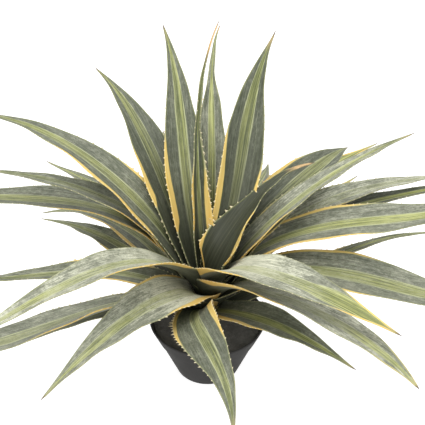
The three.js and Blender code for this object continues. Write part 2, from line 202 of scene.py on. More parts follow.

# More bloom near the base, partly the leaf's own bloom and partly painted light on bases that lie in shade:
# how much, and the share of the length over which it fades.
BASE_BLOOM_AND_PAINTED_LIGHT = {
    "leaf_upper_4": (1.8, 0.45),
    "leaf_upper_5": (2.6, 0.55),
    "leaf_middle_8": (2.4, 0.6),
}
BASE_BLOOM_AND_PAINTED_LIGHT_FROM = 0.1

# Leaves whose outer end has turned yellow, and how much. Above a half, the stripe widens there too.
RIPE = {
    "leaf_upper_5": 1.5,
    "leaf_middle_4": 0.5,
    "leaf_lower_2": 1.0,
    "leaf_lower_10": 1.0,
}
RIPE_BLADE = (0.5, 0.85)  # a ripe end starts and is full at these shares of the length
RIPE_EDGE = (0.7, 0.86)
RIPE_BARE = 0.8  # share of the bloom that a ripe end has lost

# ---------------------------------------------------------------- form of the leaves
STATIONS = 112
STATION_CROWDING = 1.05  # over 1, sections stand closer together near the base
UPPER_COLUMNS = 33
LOWER_COLUMNS = 15
COLUMN_CROWDING = 0.35  # over 0, the columns stand closer together near the margins
MIDLINE_STEPS = 480
CORNER_WIDTH = 0.045  # share of the length over which the corners of the outline are rounded off
EDGE_BULGE = 0.45  # share of the edge's thickness by which a margin is rounded outwards
SPINE_RINGS = [(0.3, 0.75), (0.6, 0.42), (0.85, 0.15)]  # share of the cone's length, and its width there

# Relief in millimetres, and its widths as shares of the half width.
SWELL_HEIGHT = 0.35
SWELL_SLANT = 2.2  # radians by which the swell is ahead at the margins
CREASE_HEIGHT = 0.5
CREASE_WIDTH = 0.05
CREASE_DRIFT = 0.12  # share by which a crease strays from its place, and how many radians its bends take
CREASE_BENDS = 4
GROOVE_DEPTH = 0.35
GROOVE_WIDTH = 0.09
RELIEF_RISE = (0.1, 0.3)
RELIEF_FADE = (0.8, 0.97)
FULL_WAVE = 6.28  # radians, about one turn

# Teeth stand closer together near the base, and are longest a quarter of the way out: share of the length,
# and how much wider the gaps are, or the size in millimetres.
TOOTH_SPACING = [[0, 0.85], [0.2, 1], [0.5, 1.5], [0.86, 1.6]]
TOOTH_SIZE = [[0.03, 1.0], [0.12, 1.8], [0.25, 2.7], [0.4, 2.6], [0.6, 1.6], [0.86, 0.6]]
TOOTH_GAP = (5.0, 8.5)  # least and most, in millimetres
TOOTH_SPREAD = (0.55, 1.3)  # least and most, as a share of the size above
TOOTH_LEAN = (-0.35, 0.6)  # towards the base below 0, towards the tip above
FIRST_TOOTH = 0.05
LAST_TOOTH = 0.86
BESIDE_TOOTH = 0.004  # share of the length on both sides that gives the margin's direction
INSIDE_EDGE = 0.9  # share of the half width from which a tooth points outwards
TOOTH_SIDES = 6
# A tooth's rings from inside the edge outwards: how far out, in millimetres below 0 and in shares of the
# tooth's length above, share of its width, half its thickness in millimetres, and how pale it is.
TOOTH_RINGS = [
    (-0.5, 1.0, 0.55, 0.1),
    (0.15, 0.8, 0.5, 0.6),
    (0.55, 0.42, 0.3, 0.9),
    (0.85, 0.16, 0.14, 1.0),
]
# Over a tooth's size: its length as the rings take it, the reach of its point, half its width, and the lean
# of its point. The root is in millimetres, on top of half the width.
TOOTH_LENGTH = 1.25
TOOTH_POINT = 1.35
TOOTH_WIDTH = 0.7
TOOTH_HOOK = 1.2
TOOTH_ROOT = 0.6

# Margins whose teeth are smaller or larger than usual: side and size. Where one curls away, they stay small.
TOOTH_SCALE = {
    "leaf_upper_4": (-1, 0.35),
    "leaf_upper_5": (1, 0.5),
    "leaf_middle_1": (1, 0.5),
    "leaf_middle_5": (1, 0.7),
    "leaf_middle_8": (-1, 0.5),
    "leaf_lower_1": (1, 0.4),
    "leaf_lower_4": (-1, 1.4),
    "leaf_lower_7": (1, 0.45),
}

# What each point of a leaf knows: millimetres and share across, millimetres and share along, the face that
# it lies on (1 above, 0 below), and how much of a tooth it is.
ACROSS_MM, ALONG_MM, ACROSS, ALONG, FACE, TOOTH = range(6)


def through(values, s):
    """The value at s of the curve that passes the three values at 0, 0.5 and 1."""
    a, b, c = values
    return a * 2 * (s - 0.5) * (s - 1) + b * 4 * s * (1 - s) + c * 2 * s * (s - 0.5)


def along(corners, s):
    """The value at s of a line through the given [s, value] corners."""
    table = np.array(corners, float)
    return np.interp(s, table[:, 0], table[:, 1])


def eased(corners, s, width=0.05):
    """The same line, with its corners rounded off over the given width."""
    offsets = np.linspace(-width, width, 11)
    weights = 1 - np.abs(offsets) / (width * 1.1)
    total = sum(w * along(corners, np.clip(s + o, 0, 1)) for o, w in zip(offsets, weights))
    return total / weights.sum()


def smooth(s, low, high):
    """A soft step from 0 at low to 1 at high."""
    t = np.clip((s - low) / (high - low), 0, 1)
    return t * t * (3 - 2 * t)


def midline(base, length, heading, pitch, s):
    """The midline's points at s, with the directions along it, to its side and up from it."""
    middle = (np.arange(MIDLINE_STEPS) + 0.5) / MIDLINE_STEPS

    def direction(at):
        h = np.radians(through(heading, at))
        p = np.radians(through(pitch, at))
        return np.stack([np.cos(p) * np.cos(h), np.cos(p) * np.sin(h), np.sin(p)], -1)

    start = math.radians(heading[0])
    out = float(along(LEAF_START, base))
    first = np.array([out * math.cos(start), out * math.sin(start), base])
    path = np.vstack([first, first + np.cumsum(direction(middle) * (length / MIDLINE_STEPS), 0)])
    grid = np.linspace(0, 1, MIDLINE_STEPS + 1)
    point = np.stack([np.interp(s, grid, path[:, k]) for k in range(3)], -1)
    tangent = direction(s)
    h = np.radians(through(heading, s))
    side = np.stack([-np.sin(h), np.cos(h), 0 * h], -1)
    return point, tangent, side, np.cross(tangent, side)


class Leaf:
    """One leaf's form: where each point of its upper and lower face lies."""

    def __init__(self, number, row):
        self.name, self.base, self.length, self.half, self.heading, self.pitch = row[:6]
        self.channel, self.roll, self.taper = row[6:]
        self.chance = random.Random(100 + number)
        pick = self.chance.uniform
        # the waves of each margin: where they start, how many there are and how high
        self.waves = [(pick(0, FULL_WAVE), pick(4, 6), pick(0.5, 1.0)) for _ in range(2)]
        # where the swell starts, where the bends of the creases start, and how many swells there are
        self.swell = (pick(0, FULL_WAVE), pick(0, FULL_WAVE), pick(1.5, 2.5))
        # each crease: its place across and its height
        self.creases = [(pick(-0.62, -0.36), pick(0.3, 0.7)), (pick(0.34, 0.6), pick(0.3, 0.7))]

    def frame(self, s):
        """The midline at s, rolled about itself."""
        point, tangent, side, up = midline(self.base, self.length, self.heading, self.pitch, s)
        turn = np.radians(through(self.roll, s))[:, None]
        rolled_side = side * np.cos(turn) + up * np.sin(turn)
        rolled_up = up * np.cos(turn) - side * np.sin(turn)
        return point, tangent, rolled_side, rolled_up

    def half_width(self, s):
        low, high, lost = ROLLED_END.get(self.name, (0, 1, 0))
        plain = self.half * eased(OUTLINE, s ** self.taper, CORNER_WIDTH)
        return plain * (1 - lost * smooth(s, low, high))

    def surface(self, s, u, down=0.0):
        """Points at s along and u across, a share down of the thickness below the upper face.

        s and u are arrays of one length, and down is one too or a number. The upper face's direction and the
        half width are returned as well.
        """
        point, tangent, side, up = self.frame(s)
        half = self.half_width(s)
        depth = self.channel * eased(CHANNEL, s) * half
        start = float(along(LEAF_START, self.base))
        reach = np.maximum(np.hypot(point[:, 0], point[:, 1]), start)
        steep = np.maximum(tangent[:, 2], 0)
        bend = steep / reach * (1 - UNWRAPPED * smooth(s, UNWRAP_FROM, UNWRAP_TO)) + 1e-6
        turn = np.clip(bend * half * u, -WIDEST_WRAP, WIDEST_WRAP)
        x = np.sin(turn) / bend
        y = (1 - np.cos(turn)) / bend + depth * u * u
        nx = -(np.sin(turn) * half + 2 * depth * u)
        ny = np.cos(turn) * half
        size = np.hypot(nx, ny)
        nx, ny = nx / size, ny / size
        edge = along(EDGE_THICKNESS, s)
        thick = edge + (along(MID_THICKNESS, s) - edge) * (1 - u * u)
        low = thick * down - self.relief(s, u)
        place = point + side * (x - nx * low)[:, None] + up * (y - ny * low)[:, None]
        normal = side * nx[:, None] + up * ny[:, None]
        return place, normal, half

    def relief(self, s, u):
        """Small waves, creases and a groove, in millimetres above the plain form."""
        body = smooth(s, *RELIEF_RISE) * (1 - smooth(s, *RELIEF_FADE))
        lift = np.zeros_like(s)
        for sign, (phase, count, size) in zip((-1, 1), self.waves):
            reach = np.clip(u * sign, 0, 1) ** 3
            lift += body * reach * size * np.sin(phase + s * count * FULL_WAVE)
        phase, drift_phase, count = self.swell
        lift += SWELL_HEIGHT * body * np.sin(phase + s * FULL_WAVE * count + SWELL_SLANT * u) * (1 - u * u)
        for at, size in self.creases:
            drift = at * (1 + CREASE_DRIFT * np.sin(drift_phase + CREASE_BENDS * s))
            lift += body * size * CREASE_HEIGHT * np.exp(-((u - drift) / CREASE_WIDTH) ** 2)
        lift -= GROOVE_DEPTH * body * np.exp(-(u / GROOVE_WIDTH) ** 2)
        return lift


class Pile:
    """Vertices, faces and values of points, gathered piece by piece."""

    def __init__(self):
        self.verts = []
        self.values = []
        self.faces = []
        self.count = 0

    def add(self, verts, values, faces=()):
        """Add a piece whose faces count from its own first vertex, and return its vertices' numbers."""
        first = self.count
        self.verts.append(verts)
        self.values.append(values)
        self.faces += [[i + first for i in face] for face in faces]
        self.count += len(verts)
        return np.arange(first, self.count)


def leaf_mesh(leaf):
    """Vertices, faces and values of the points of one leaf, with its teeth and its spine."""
    s_line = SPINE_START * np.linspace(0, 1, STATIONS) ** STATION_CROWDING
    even = np.linspace(-1, 1, UPPER_COLUMNS)
    upper_u = np.sin(even * math.pi / 2) * COLUMN_CROWDING + even * (1 - COLUMN_CROWDING)
    lower_u = np.linspace(1, -1, LOWER_COLUMNS)
    ring_u = np.concatenate([upper_u, [1.0], lower_u, [-1.0]])
    ring_down = np.concatenate([np.zeros(UPPER_COLUMNS), [0.5], np.ones(LOWER_COLUMNS), [0.5]])
    columns = len(ring_u)
    s = np.repeat(s_line, columns)
    u = np.tile(ring_u, STATIONS)
    down = np.tile(ring_down, STATIONS)
    place, normal, half = leaf.surface(s, u, down)
    _, tangent, side, _ = leaf.frame(s)
    # the columns halfway down the edge bulge outwards, so that the margin is round
    outward = np.cross(normal, tangent)
    bulge = np.where(down == 0.5, np.sign(u) * EDGE_BULGE * along(EDGE_THICKNESS, s), 0)
    sign = np.sign(np.einsum("ij,ij->i", outward, side))
    place = place + outward * (bulge * sign)[:, None]

    pile = Pile()
    values = np.stack([u * half, s * leaf.length, u, s, 1 - down, 0 * u], 1)
    index = pile.add(place, values).reshape(STATIONS, columns)
    beside = np.roll(index, -1, 1)
    blade = np.stack([index[:-1], beside[:-1], beside[1:], index[1:]], -1)
    pile.faces += blade.reshape(-1, 4).tolist()
    pile.faces.append(index[0][::-1].tolist())
    add_spine(leaf, pile, index[-1], place[-columns:], values[-columns:])
    add_teeth(leaf, pile)
    return np.vstack(pile.verts), pile.faces, np.vstack(pile.values)


def add_spine(leaf, pile, row, section, values):
    """A narrow cone from the blade's last section to the leaf's tip."""
    end_point, end_tangent, _, _ = leaf.frame(np.array([SPINE_START]))
    centre = section.mean(0)
    apex = end_point[0] + end_tangent[0] * (leaf.length * (1 - SPINE_START) + SPINE_LENGTH)
    rows = [row]
    for step, narrow in SPINE_RINGS:
        grown = values.copy()
        grown[:, ALONG] = SPINE_START + (1 - SPINE_START) * step
        rows.append(pile.add(centre + (section - centre) * narrow + (apex - centre) * step, grown))
    tip_value = values[-1:].copy()
    tip_value[:, ALONG] = 1
    tip = pile.add(apex[None], tip_value)[0]
    for low, high in zip(rows, rows[1:]):
        pile.faces += np.stack([low, np.roll(low, -1), np.roll(high, -1), high], -1).tolist()
    pile.faces += [[p, q, tip] for p, q in zip(rows[-1], np.roll(rows[-1], -1))]


def tooth_faces():
    """The faces of one tooth: its inner end, its sides and its point."""
    faces = [list(range(TOOTH_SIDES))[::-1]]
    for level in range(len(TOOTH_RINGS) - 1):
        for turn in range(TOOTH_SIDES):
            a = level * TOOTH_SIDES + turn
            b = level * TOOTH_SIDES + (turn + 1) % TOOTH_SIDES
            faces.append([a, b, b + TOOTH_SIDES, a + TOOTH_SIDES])
    last = (len(TOOTH_RINGS) - 1) * TOOTH_SIDES
    point = last + TOOTH_SIDES
    faces += [[last + turn, last + (turn + 1) % TOOTH_SIDES, point] for turn in range(TOOTH_SIDES)]
    return faces


def add_teeth(leaf, pile):
    """Small hooked teeth on both margins, each a closed flattened cone set into the edge."""
    pick = leaf.chance.uniform
    scaled_side, scale = TOOTH_SCALE.get(leaf.name, (0, 1))
    paleness = [ring[3] for ring in TOOTH_RINGS]
    for sign in (-1, 1):
        travel = FIRST_TOOTH * leaf.length
        spots = []
        while travel < LAST_TOOTH * leaf.length:
            spots.append(travel)
            travel += pick(*TOOTH_GAP) * float(along(TOOTH_SPACING, travel / leaf.length))
        s = np.array(spots) / leaf.length
        u = np.full(len(s), float(sign))
        top, _, half = leaf.surface(s, u, 0.0)
        low, _, _ = leaf.surface(s, u, 1.0)
        ahead, _, _ = leaf.surface(s + BESIDE_TOOTH, u, 0.5)
        behind, _, _ = leaf.surface(s - BESIDE_TOOTH, u, 0.5)
        inner, _, _ = leaf.surface(s, u * INSIDE_EDGE, 0.5)
        middle = (top + low) / 2
        forward = ahead - behind
        forward /= np.linalg.norm(forward, axis=1)[:, None]
        outward = middle - inner
        outward /= np.linalg.norm(outward, axis=1)[:, None]
        across = np.cross(forward, outward)
        faces = tooth_faces() if sign > 0 else [face[::-1] for face in tooth_faces()]
        for k in range(len(s)):
            usual = float(along(TOOTH_SIZE, s[k])) * pick(*TOOTH_SPREAD)
            size = usual * (scale if sign == scaled_side else 1)
            lean = pick(*TOOTH_LEAN)
            wide = TOOTH_WIDTH * size + TOOTH_ROOT
            verts = []
            for reach, share, thick, _ in TOOTH_RINGS:
                centre = middle[k] + outward[k] * (reach * size * TOOTH_LENGTH if reach > 0 else reach)
                centre = centre + forward[k] * (lean * size * max(reach, 0) ** 2)
                for turn in range(TOOTH_SIDES):
                    angle = 2 * math.pi * turn / TOOTH_SIDES
                    step = forward[k] * (math.cos(angle) * wide * share)
                    verts.append(centre + step + across[k] * (math.sin(angle) * thick))
            verts.append(middle[k] + outward[k] * size * TOOTH_POINT + forward[k] * lean * size * TOOTH_HOOK)
            value = np.zeros((len(verts), 6))
            value[:, ACROSS_MM] = sign * half[k]
            value[:, ALONG_MM] = s[k] * leaf.length
            value[:, ACROSS] = sign
            value[:, ALONG] = s[k]
            value[:, FACE] = 0.5
            value[:, TOOTH] = np.append(np.repeat(paleness, TOOTH_SIDES), 1)
            pile.add(np.array(verts), value, faces)


def mesh_object(name, verts, faces, material):
    """A smoothly shaded piece from points in millimetres, riding on the one body."""
    mesh = bpy.data.meshes.new(name)
    mesh.from_pydata([tuple(v) for v in np.asarray(verts) * MM], [], faces)
    mesh.update()
    mesh.materials.append(material)
    mesh.polygons.foreach_set("use_smooth", [True] * len(mesh.polygons))
    piece = bpy.data.objects.new(name, mesh)
    scene.collection.objects.link(piece)
    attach(piece, "root")
    return piece


def put_attribute(mesh, name, data):
    """Keep one number or one vector for each point, for the material to read."""
    data = np.asarray(data, np.float32)
    kind, field = ("FLOAT", "value") if data.ndim == 1 else ("FLOAT_VECTOR", "vector")
    mesh.attributes.new(name, kind, "POINT").data.foreach_set(field, data.ravel())


# ---------------------------------------------------------------- materials
class Nodes:
    """A short way to write a node tree."""

    def __init__(self, name):
        self.material = bpy.data.materials.new(name)
        self.material.use_nodes = True
        self.tree = self.material.node_tree
        self.shader = self.tree.nodes["Principled BSDF"]

    def add(self, kind, values=None, **settings):
        node = self.tree.nodes.new("ShaderNode" + kind)
        for key, value in settings.items():
            setattr(node, key, value)
        for key, value in (values or {}).items():
            self.put(node.inputs[key], value)
        return node

    def put(self, socket, value):
        """Link the value if it comes from a node, or set it on the socket."""
        if isinstance(value, bpy.types.NodeSocket):
            self.tree.links.new(value, socket)
        else:
            socket.default_value = value

    def finish(self, colour, roughness, bump, specular=None):
        """Set the shader's sockets. The bump is its strength, its height in metres and what it follows."""
        strength, distance, height = bump
        raised = self.add("Bump", {"Strength": strength, "Distance": distance, "Height": height})
        self.put(self.shader.inputs["Base Color"], colour)
        self.put(self.shader.inputs["Roughness"], roughness)
        self.put(self.shader.inputs["Normal"], raised.outputs[0])
        if specular is not None:
            self.put(self.shader.inputs["Specular IOR Level"], specular)
        return self.material

    def math(self, operation, a, b=0.0, clamp=False):
        return self.add("Math", {0: a, 1: b}, operation=operation, use_clamp=clamp).outputs[0]

    def plus(self, a, b):
        return self.math("ADD", a, b)

    def minus(self, a, b):
        return self.math("SUBTRACT", a, b)

    def times(self, a, b, clamp=False):
        return self.math("MULTIPLY", a, b, clamp)

    def distance(self, a, b):
        return self.math("ABSOLUTE", self.minus(a, b))

    def ramp(self, value, low, high, first=0.0, second=1.0):
        """A soft step from first at low to second at high."""
        inputs = {0: value, 1: low, 2: high, 3: first, 4: second}
        return self.add("MapRange", inputs, interpolation_type="SMOOTHSTEP").outputs[0]

    def mix(self, share, a, b):
        """The colour a, with the given share of the colour b. Its colour sockets are numbers 6 and 7."""
        node = self.add("Mix", data_type="RGBA")
        self.put(node.inputs[0], share)
        self.put(node.inputs[6], a)
        self.put(node.inputs[7], b)
        return node.outputs[2]

    def noise(self, vector, scale, detail=3.0, roughness=0.55):
        inputs = {"Vector": vector, "Scale": scale, "Detail": detail, "Roughness": roughness}
        return self.add("TexNoise", inputs).outputs[0]

    def stretched(self, vector, x, y, z=1.0):
        return self.add("VectorMath", {0: vector, 1: (x, y, z)}, operation="MULTIPLY").outputs[0]

    def vector(self, name):
        return self.add("Attribute", attribute_name=name).outputs["Vector"]

    def parts(self, vector):
        return tuple(self.add("SeparateXYZ", {0: vector}).outputs)

    def place(self):
        """The point's own place in metres. Everything stands still, so it is fixed to the piece."""
        return self.add("NewGeometry").outputs["Position"]


def rgb(r, g, b):
    """A colour given as it looks on a screen, as the linear colour that a shader wants."""
    linear = [(c / 255 / 12.92) if c <= 10 else ((c / 255 + 0.055) / 1.055) ** 2.4 for c in (r, g, b)]
    return (*linear, 1.0)


FLANK_DARK = rgb(54, 59, 46)
FLANK_LIGHT = rgb(88, 93, 77)
FLANK_LINE = rgb(56, 60, 47)
FLANK_PATCH = rgb(112, 117, 103)
WAX_DARK = rgb(164, 166, 146)
WAX_LIGHT = rgb(216, 216, 194)
STRIPE_DARK = rgb(90, 98, 46)
STRIPE_LIGHT = rgb(162, 166, 94)
STRIPE_GREEN_LINE = rgb(74, 84, 44)
STRIPE_PALE_LINE = rgb(194, 196, 138)
DASH = rgb(70, 78, 52)
CREASE = rgb(178, 182, 142)
TOOTH_PRINT = rgb(150, 156, 130)
BARE_AND_SHADED_DARK = rgb(44, 47, 35)
BARE_AND_SHADED_LIGHT = rgb(61, 64, 50)
MARGIN_DARK = rgb(240, 198, 104)
MARGIN_LIGHT = rgb(248, 218, 140)
MARGIN_SHADED_AT_BASE = rgb(208, 148, 66)
MARGIN_WHERE_THIN = rgb(170, 172, 138)
BESIDE_MARGIN = rgb(118, 126, 76)
DRY_DARK = rgb(158, 128, 88)
DRY_LIGHT = rgb(214, 184, 134)
SPINE_BROWN = rgb(96, 78, 56)
TOOTH_PALE = rgb(222, 210, 176)
POT_DARK = rgb(51, 50, 49)
POT_LIGHT = rgb(57, 56, 55)
SOIL_DARK = rgb(58, 57, 55)
SOIL_LIGHT = rgb(104, 102, 97)
SOIL_PATCH = rgb(70, 68, 65)
STEM_DARK = rgb(120, 104, 62)
STEM_LIGHT = rgb(190, 176, 118)


class LeafLook(Nodes):
    """The leaf's material, mixed layer by layer from what each point knows."""

    def __init__(self):
        super().__init__("leaf")
        self.flat = self.vector("leaf_flat")  # millimetres across and along, and the leaf's own number
        self.across, self.reach, self.top = self.parts(self.vector("leaf_share"))
        self.bloom, self.stripe, self.dry = self.parts(self.vector("leaf_traits"))
        # how far the edge is and how wide the margin is, both in millimetres, and how much of a tooth it is
        self.edge, self.limit, self.tooth = self.parts(self.vector("leaf_rim"))
        # how dark the base is: partly the leaf's own colour, partly painted shade of the heart
        self.base_darkness_and_shade = self.add("Attribute", attribute_name="leaf_dark_base_and_shade").outputs["Fac"]
        self.off = self.math("ABSOLUTE", self.across)
        self.lines = self.grain(0.5, 0.006, 4.0, 0.7)
        self.fine = self.grain(1.5, 0.018, 3.0, 0.6)
        self.blotch = self.grain(0.06, 0.025, 4.0, 0.6)
        self.mottle = self.grain(0.26, 0.1, 4.0, 0.8)
        self.from_stripe = self.stripe_place()

    def grain(self, across, along_leaf, detail=3.0, roughness=0.55):
        """Noise with this many waves in a millimetre across and along the leaf."""
        return self.noise(self.stretched(self.flat, across, along_leaf), 1.0, detail, roughness)

    def wax(self):
        """The share of the bloom, and its colour."""
        weave = self.grain(0.8, 0.011, 4.0, 0.7)
        speck = self.grain(0.55, 0.3, 5.0, 0.75)
        share = self.times(self.bloom, self.ramp(self.blotch, 0.35, 0.6, 0.5, 1.05))
        share = self.times(share, self.ramp(weave, 0.4, 0.6, 0.65, 1.05))
        share = self.times(share, self.ramp(self.mottle, 0.38, 0.58, 0.55, 1.1))
        share = self.times(share, self.ramp(speck, 0.36, 0.56, 0.6, 1.05), clamp=True)
        share = self.times(share, self.ramp(self.top, 0.2, 0.8, 0.25, 1.0))
        return share, self.mix(self.ramp(self.fine, 0.35, 0.65), WAX_DARK, WAX_LIGHT)

    def flank(self):
        """The grey-green of the leaf, before its bloom."""
        green = self.mix(self.ramp(self.lines, 0.35, 0.65), FLANK_DARK, FLANK_LIGHT)
        green = self.mix(self.ramp(self.fine, 0.5, 0.75, 0.0, 0.35), green, FLANK_LINE)
        return self.mix(self.ramp(self.mottle, 0.48, 0.64, 0.0, 0.42), green, FLANK_PATCH)

    def yellowish(self, wax_share, wax):
        """The colour of the stripe along the middle."""
        thin = self.grain(1.2, 0.006, 2.0)
        colour = self.mix(self.ramp(self.lines, 0.4, 0.6), STRIPE_DARK, STRIPE_LIGHT)
        colour = self.mix(self.ramp(self.fine, 0.54, 0.68, 0.0, 0.85), colour, STRIPE_GREEN_LINE)
        colour = self.mix(self.times(wax_share, 0.5), colour, wax)
        return self.mix(self.ramp(thin, 0.56, 0.64, 0.0, 0.65), colour, STRIPE_PALE_LINE)

    def stripe_place(self):
        """How far a point is from the middle, as the stripe's wavy outline sees it."""
        wobble = self.times(self.minus(self.lines, 0.5), 0.3)
        wider_outwards = self.ramp(self.reach, 0.4, 0.85, 0.0, 0.14)
        wider_where_ripe = self.ramp(self.stripe, 1.0, 2.2, 0.0, 0.45)
        return self.minus(self.plus(self.off, wobble), self.plus(wider_outwards, wider_where_ripe))

    def blade(self):
        """Flanks, bloom and stripe, with the dark dashes that run through all of them."""
        wax_share, wax = self.wax()
        green = self.mix(wax_share, self.flank(), wax)
        inside = self.ramp(self.from_stripe, 0.17, 0.3, 1.0, 0.0)
        strength = self.plus(self.stripe, self.ramp(self.reach, 0.5, 0.95, 0.0, 0.15))
        share = self.times(inside, strength, clamp=True)
        share = self.times(share, self.ramp(self.top, 0.2, 0.8, 0.35, 1.0))
        colour = self.mix(share, green, self.yellowish(wax_share, wax))
        dash = self.grain(0.85, 0.028, 3.0, 0.7)
        return self.mix(self.ramp(dash, 0.52, 0.64, 0.0, 0.55), colour, DASH)

    def pale_lines(self, colour):
        """A crease on each side of the stripe, and the print that a neighbour's teeth left."""
        above = self.ramp(self.top, 0.4, 0.8)
        crease = self.ramp(self.distance(self.from_stripe, 0.23), 0.008, 0.045, 0.85, 0.0)
        crease = self.times(crease, self.ramp(self.fine, 0.36, 0.5))
        colour = self.mix(self.times(crease, above), colour, CREASE)
        along_mm = self.parts(self.flat)[1]
        hooks = self.times(self.math("PINGPONG", along_mm, 3.6), 0.012)
        drift = self.times(self.minus(self.grain(0.0, 0.012, 1.0), 0.5), 0.5)
        print_at = self.plus(self.plus(0.56, hooks), drift)
        trace = self.ramp(self.distance(self.off, print_at), 0.008, 0.026, 0.4, 0.0)
        trace = self.times(trace, self.ramp(self.blotch, 0.45, 0.6))
        trace = self.times(trace, self.ramp(self.reach, 0.72, 0.8, 1.0, 0.0))
        return self.mix(self.times(trace, above), colour, TOOTH_PRINT)

    def darken_base_and_paint_shade(self, colour):
        """Leaves are bare and dark where they sit in the heart of the rosette: partly their own dark green,
        partly painted shade.
        """
        bare_and_shaded = self.mix(self.ramp(self.lines, 0.35, 0.65), BARE_AND_SHADED_DARK, BARE_AND_SHADED_LIGHT)
        return self.mix(self.base_darkness_and_shade, colour, bare_and_shaded)

    def margins(self, colour):
        """The yellow margin with its ragged inner side, and the greener line beside it."""
        ragged = self.times(self.minus(self.grain(0.25, 0.03), 0.5), 1.8)
        inward = self.minus(self.edge, self.plus(self.limit, ragged))
        border = self.ramp(inward, -0.4, 0.4, 1.0, 0.0)
        border = self.times(border, self.ramp(self.limit, 0.1, 0.9, 0.5, 1.0))
        yellow = self.mix(self.ramp(self.fine, 0.35, 0.65), MARGIN_DARK, MARGIN_LIGHT)
        # towards the base the margin turns orange, partly its own tone and partly painted shade
        yellow = self.mix(self.ramp(self.reach, 0.1, 0.4, 0.45, 0.0), yellow, MARGIN_SHADED_AT_BASE)
        yellow = self.mix(self.ramp(self.limit, 0.6, 1.8, 0.9, 0.0), yellow, MARGIN_WHERE_THIN)
        colour = self.mix(border, colour, yellow)
        return self.mix(self.ramp(inward, 0.3, 1.6, 0.3, 0.0), colour, BESIDE_MARGIN)

    def ends(self, colour):
        """The dry tip, the spine and the teeth, which are less pale in the heart of the rosette."""
        brown = self.mix(self.ramp(self.fine, 0.3, 0.7), DRY_DARK, DRY_LIGHT)
        dry_from = self.ramp(self.dry, 1.0, 3.0, 0.94, 0.74)
        dry_at = self.plus(self.reach, self.times(self.fine, 0.04))
        dried = self.times(self.ramp(dry_at, dry_from, 1.01), self.dry, clamp=True)
        colour = self.mix(dried, colour, brown)
        colour = self.mix(self.ramp(self.reach, 0.985, 0.995), colour, SPINE_BROWN)
        pale = self.times(self.tooth, self.ramp(self.reach, 0.08, 0.34, 0.45, 0.9))
        return self.mix(pale, colour, TOOTH_PALE)

    def build(self):
        colour = self.pale_lines(self.blade())
        colour = self.ends(self.margins(self.darken_base_and_paint_shade(colour)))
        thread = self.grain(3.2, 0.05, 2.0, 0.5)
        height = self.plus(self.times(self.lines, 0.6), self.times(self.fine, 0.3))
        height = self.plus(height, self.times(thread, 0.1))
        roughness = self.ramp(self.blotch, 0.3, 0.7, 0.45, 0.62)
        return self.finish(colour, roughness, (0.45, 0.0007, height), specular=0.3)


def pot_material():
    n = Nodes("pot_plastic")
    place = n.place()
    cloud = n.noise(place, 25.0, 3.0)
    pits = n.noise(place, 900.0, 2.0)
    roughness = n.ramp(cloud, 0.3, 0.7, 0.55, 0.68)
    return n.finish(n.mix(cloud, POT_DARK, POT_LIGHT), roughness, (0.12, 0.0003, pits), specular=0.08)


def soil_material():
    n = Nodes("potting_soil")
    place = n.place()
    crumb = n.noise(place, 260.0, 5.0, 0.7)
    patch = n.noise(place, 60.0, 3.0)
    colour = n.mix(crumb, SOIL_DARK, SOIL_LIGHT)
    colour = n.mix(n.ramp(patch, 0.45, 0.7, 0.0, 0.6), colour, SOIL_PATCH)
    return n.finish(colour, 0.95, (0.8, 0.001, crumb))


def stem_material():
    n = Nodes("stem_tissue")
    band = n.noise(n.stretched(n.place(), 60.0, 60.0, 420.0), 1.0, 4.0)
    colour = n.mix(n.ramp(band, 0.35, 0.65), STEM_DARK, STEM_LIGHT)
    return n.finish(colour, 0.7, (0.6, 0.0008, band))


# ---------------------------------------------------------------- leaves
NUMBER_STEP = 37.0  # keeps the patterns of two leaves apart


def traits_by_point(name, s):
    """Bloom, stripe and dryness at each s along the leaf."""
    found = np.tile(TRAITS.get(name, USUAL_TRAITS), (len(s), 1))
    # extra bloom near the base: partly real bloom, partly painted light on shaded bases
    extra_bloom_and_light, extra_bloom_and_light_to = BASE_BLOOM_AND_PAINTED_LIGHT.get(name, (0, 1))
    found[:, 0] += extra_bloom_and_light * (1 - smooth(s, BASE_BLOOM_AND_PAINTED_LIGHT_FROM, extra_bloom_and_light_to))
    ripe = RIPE.get(name, 0)
    found[:, 0] *= 1 - min(ripe, 1) * RIPE_BARE * smooth(s, *RIPE_BLADE)
    found[:, 1] += ripe * smooth(s, *RIPE_BLADE)
    return found


def margin_by_point(name, s, u, half):
    """Width of the yellow margin on the side that each point lies on, in millimetres."""
    limit = np.zeros(len(s))
    ripe_edge = RIPE_MARGIN * min(RIPE.get(name, 0), 1) * smooth(s, *RIPE_EDGE)
    for sign, (start, width, end) in zip((-1, 1), MARGINS.get(name, USUAL_MARGINS)):
        fade = 1 - smooth(s, end + MARGIN_FADE[0], end + MARGIN_FADE[1])
        grown = width * (smooth(s, start, start + MARGIN_RISE) * fade)
        side_limit = np.minimum(grown + THIN_MARGIN + ripe_edge, WIDEST_MARGIN * half + MARGIN_REST)
        limit = np.where(u * sign > 0, side_limit, limit)
    return limit


